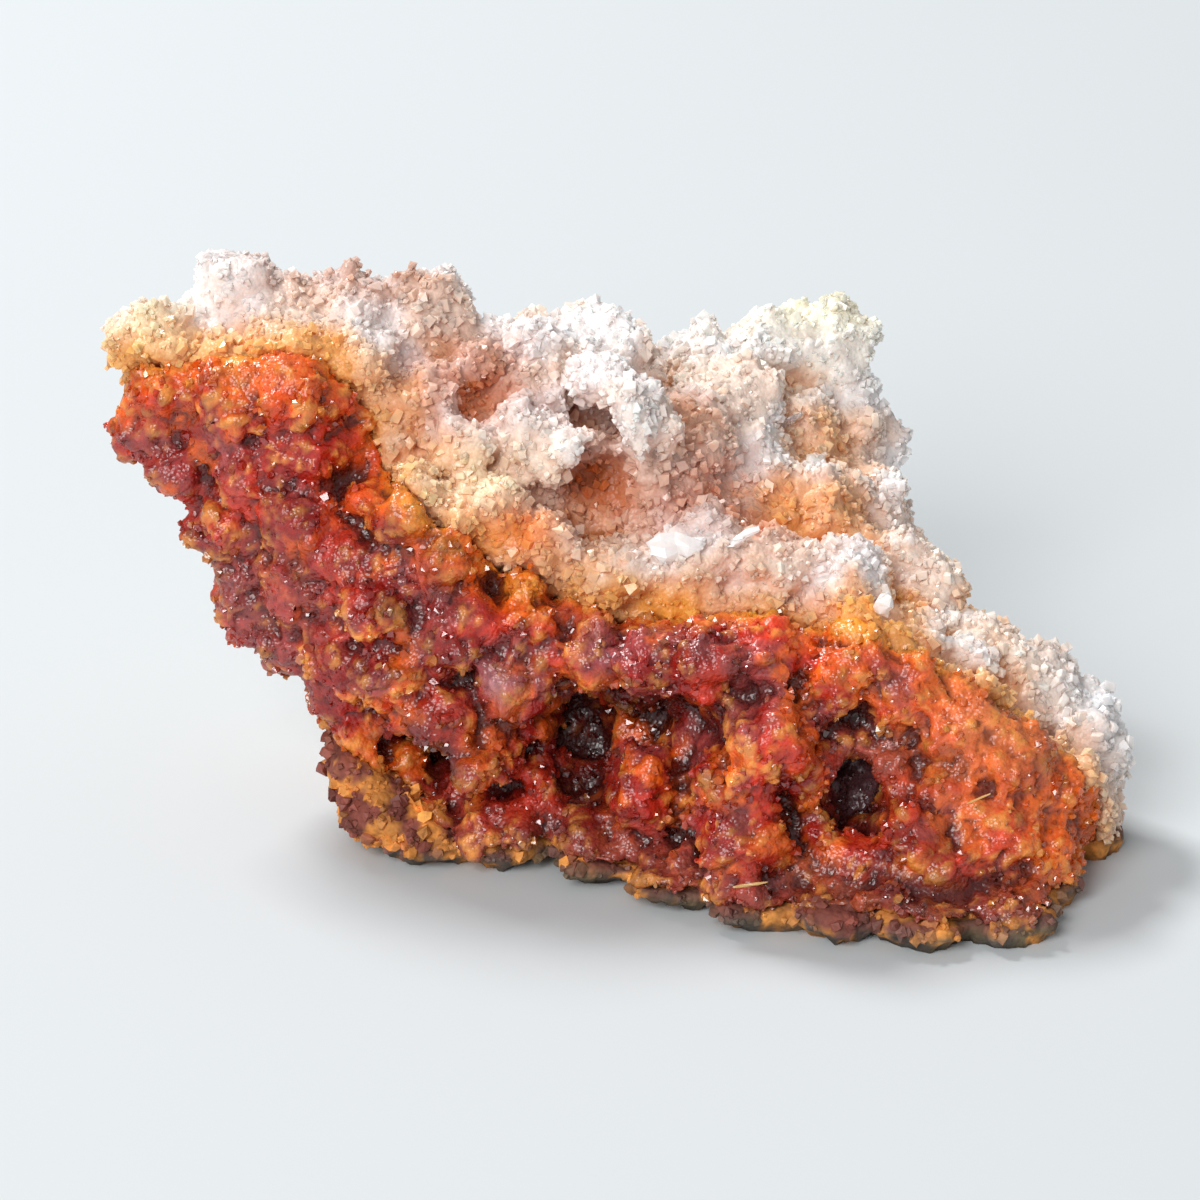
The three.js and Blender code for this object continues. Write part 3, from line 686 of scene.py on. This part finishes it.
def grains_on(name, skin, gap, colours, form, count, largest, smallest, brighter, mottle, seed):
    """Small crystals on a finished skin. Corners of the skin above its foot and clear of its neighbour are
    drawn at random, and a crystal stands about half sunk at each, leaned off the normal. It has the skin's
    colour times `brighter`, made lighter or darker by up to half of `mottle`. Patches of noise shrink the
    crystals to the share `smallest`, which leaves the lumps under them bare."""
    random = np.random.default_rng(seed)
    places, faces = skin
    open_corners = np.flatnonzero((places[:, 2] > BARE_FOOT) & (gap > HIDDEN_GAP))
    pick = random.choice(open_corners, count, replace=False)
    normals = outward(places, faces)[pick]
    axes = unit(normals + GRAIN_LEAN * random.normal(size=(count, 3)))
    patch = rise(rolling(places[pick], BARE_PATCH, seed), BARE_BELOW, FULL_ABOVE)
    sizes = largest * (LEAST_SHARE + SHARE_RANGE * random.random(count) ** GRAIN_RARITY)
    sizes = sizes * (smallest + (1 - smallest) * patch)
    middles = places[pick] + normals * (sizes * GRAIN_OUT)[:, None]
    corners, sides = many(form, middles, axes, sizes, random, uneven=0.5)
    made = put_mesh(name, kept_in_box(corners), sides, smooth=False)
    shade = brighter * (1 + mottle * (random.random(count) - 0.5))
    paint(made, np.repeat(colours[pick] * shade[:, None], len(form[0]), axis=0))
    return made


sugar_finish = stone_finish(
    "sugary_grain", roughness=(0.08, 0.32), speckle=0.05, speckle_size=0.5 * MM, bump=0.15,
    Subsurface_Weight=0.5, Subsurface_Radius=(1.0, 0.82, 0.74), Subsurface_Scale=1 * MM, IOR=1.5)
# The sugar grains take the crust's colour, including the brown painted shade of its bowls and craters.
for name, count, largest, seed in (("sugar_grains", SUGAR_GRAINS, 0.66 * MM, 51),
                                   ("fine_sugar", FINE_SUGAR_GRAINS, 0.44 * MM, 55)):
    sugar = grains_on(name, (crust_places, crust_faces), zincite_gap, crust_colour, SUGAR_FORM, count,
                      largest, smallest=0.75, brighter=1.08, mottle=0.16, seed=seed)
    sugar.data.materials.append(sugar_finish)
    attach(sugar, "root")

# The red grains take the red skin's colour, including the painted shade of its creases, cavities and
# hollows.
red_grains = grains_on("red_grains", (zincite_places, zincite_faces), crust_gap, zincite_colour, RED_FORM,
                       RED_GRAINS, largest=0.5 * MM, smallest=0.4, brighter=1.1, mottle=0.3, seed=52)
red_grains.data.materials.append(stone_finish(
    "glassy_red_grain", roughness=(0.06, 0.25), speckle=0.15, speckle_size=0.5 * MM, bump=0.1,
    Transmission_Weight=0.2, Subsurface_Weight=0.3, Subsurface_Radius=(1.0, 0.3, 0.12),
    Subsurface_Scale=1 * MM, IOR=1.9))
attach(red_grains, "root")

rock_gap = distance_to(rock_places, zincite_solid, np.random.default_rng(53))
rock_grains = grains_on("rock_grains", (rock_places, rock_faces), rock_gap, rock_colour, RED_FORM,
                        ROCK_GRAINS, largest=0.8 * MM, smallest=0.6, brighter=1.15, mottle=0.4, seed=54)
rock_grains.data.materials.append(stone_finish(
    "rock_grain", roughness=(0.4, 0.8), speckle=0.25, speckle_size=0.6 * MM, bump=0.3))
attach(rock_grains, "root")


# The flakes, the prism and the straws
# Two flat white flakes, one white grain and one clear prism lie on the crust, where they grew. Two thin
# straw-coloured fibres are caught on the red mass.

# The middle of each, the way that its long axis points, and its half length, half width and half thickness,
# in millimetres.
LARGE_FLAKE = ((5, -10.1, 28), (0.95, -0.1, 0.2), (2.3, 1.2, 0.5))
SMALL_FLAKE = ((10.6, -9.6, 28.5), (0.8, 0.1, 0.5), (1.5, 0.6, 0.35))
GRAIN_BY_BAND = ((22.5, -14.9, 24.8), (0.2, -0.3, 0.9), (1.1, 0.8, 0.7))
CLEAR_PRISM = ((15, 13.8, 29), (0.85, 0.1, 0.5), (1.7, 0.4, 0.4))
LOW_STRAW = ((11.1, -27.8, 5), (0.95, -0.15, 0.25), (1.5, 0.16, 0.12))
RIGHT_STRAW = ((30.2, -24.2, 11.2), (0.8, -0.2, 0.5), (1.2, 0.14, 0.1))
FLAKE_WHITE = (252, 246, 242)
STRAW = (216, 168, 104)
CLEAR_SUGAR = (250, 248, 250)
BLADE = ring_form([(0.45, -1), (1, -0.5), (0.8, 0), (0.95, 0.4), (0.35, 1)], 8)


def put_apart(name, colour, rows, uneven, finish):
    """A piece of several single forms in one mesh, in one colour."""
    shapes = set_apart(BLADE, rows, np.random.default_rng(71), uneven)
    places = np.concatenate([shape[0] for shape in shapes])
    faces = np.concatenate([shape[1] + len(BLADE[0]) * number for number, shape in enumerate(shapes)])
    made = put_mesh(name, kept_in_box(places), faces, smooth=False)
    paint(made, all_over(places, colour))
    made.data.materials.append(finish)
    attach(made, "root")


put_apart("white_flakes", FLAKE_WHITE, [LARGE_FLAKE, SMALL_FLAKE, GRAIN_BY_BAND],
          0.6, sugar_finish)
put_apart("clear_prism", CLEAR_SUGAR, [CLEAR_PRISM], 0.1, stone_finish(
    "clear_crystal", roughness=(0.03, 0.12), speckle=0.03, speckle_size=0.5 * MM, bump=0.05,
    Transmission_Weight=0.8, IOR=1.55))
put_apart("straws", STRAW, [LOW_STRAW, RIGHT_STRAW], 0.04, sugar_finish)


# The studio
# A plain pale floor, a soft lamp behind and to the left, which casts the shadow in front, a larger one in
# front and to the left, pale light from all round, and a long lens that looks down on the broken face.

TILT = math.radians(25.5)
LENS_DISTANCE = 450 * MM
AIM = Vector((-1.47, -3.95, 20)) * MM
PICTURE_PIXELS = 1200
FOCAL_PIXELS = 5200
SENSOR_WIDTH = 36
LENS_NEAR = 10 * MM
FLOOR_HALF = 3.0
FLOOR_COLOUR = (206, 211, 213)
AIR_COLOUR = (240, 241, 243)
AIR_STRENGTH = 0.36

# The place and the side of each lamp, in metres, and its power in watts.
KEY_LAMP = ((-0.46, 0.46, 0.82), 0.26, 8.4)
FRONT_LAMP = ((-0.5, -0.95, 0.78), 0.7, 12.5)

floor = put_mesh("floor", np.array([[-1, -1, 0], [1, -1, 0], [1, 1, 0], [-1, 1, 0]]) * FLOOR_HALF,
                 np.array([[0, 1, 2, 3]]), smooth=False)
floor_finish = bpy.data.materials.new("pale_floor")
floor_finish.use_nodes = True
floor_shader = floor_finish.node_tree.nodes["Principled BSDF"]
floor_shader.inputs["Base Color"].default_value = (*linear(FLOOR_COLOUR), 1)
floor_shader.inputs["Roughness"].default_value = 0.9
floor_shader.inputs["Specular IOR Level"].default_value = 0.1
floor.data.materials.append(floor_finish)


def lamp(name, place, size, power):
    """A square soft lamp at a place in metres, turned to the specimen."""
    data = bpy.data.lights.new(name, "AREA")
    data.size = size
    data.energy = power
    made = bpy.data.objects.new(name, data)
    bpy.context.scene.collection.objects.link(made)
    made.location = place
    made.rotation_mode = "QUATERNION"
    made.rotation_quaternion = (AIM - Vector(place)).to_track_quat("-Z", "Y")


lamp("key_lamp", *KEY_LAMP)
lamp("front_lamp", *FRONT_LAMP)
air = bpy.data.worlds.new("studio_air")
bpy.context.scene.world = air
air.use_nodes = True
air_shader = air.node_tree.nodes["Background"]
air_shader.inputs["Color"].default_value = (*linear(AIR_COLOUR), 1)
air_shader.inputs["Strength"].default_value = AIR_STRENGTH
bpy.context.scene.view_settings.view_transform = "Standard"

lens_data = bpy.data.cameras.new("studio_lens")
lens_data.sensor_width = SENSOR_WIDTH
lens_data.lens = FOCAL_PIXELS / PICTURE_PIXELS * SENSOR_WIDTH
lens_data.clip_start = LENS_NEAR
studio_lens = bpy.data.objects.new("studio_lens", lens_data)
bpy.context.scene.collection.objects.link(studio_lens)
looking = Vector((0, math.cos(TILT), -math.sin(TILT)))
studio_lens.location = AIM - looking * LENS_DISTANCE
studio_lens.rotation_mode = "QUATERNION"
studio_lens.rotation_quaternion = looking.to_track_quat("-Z", "Y")
bpy.context.scene.camera = studio_lens
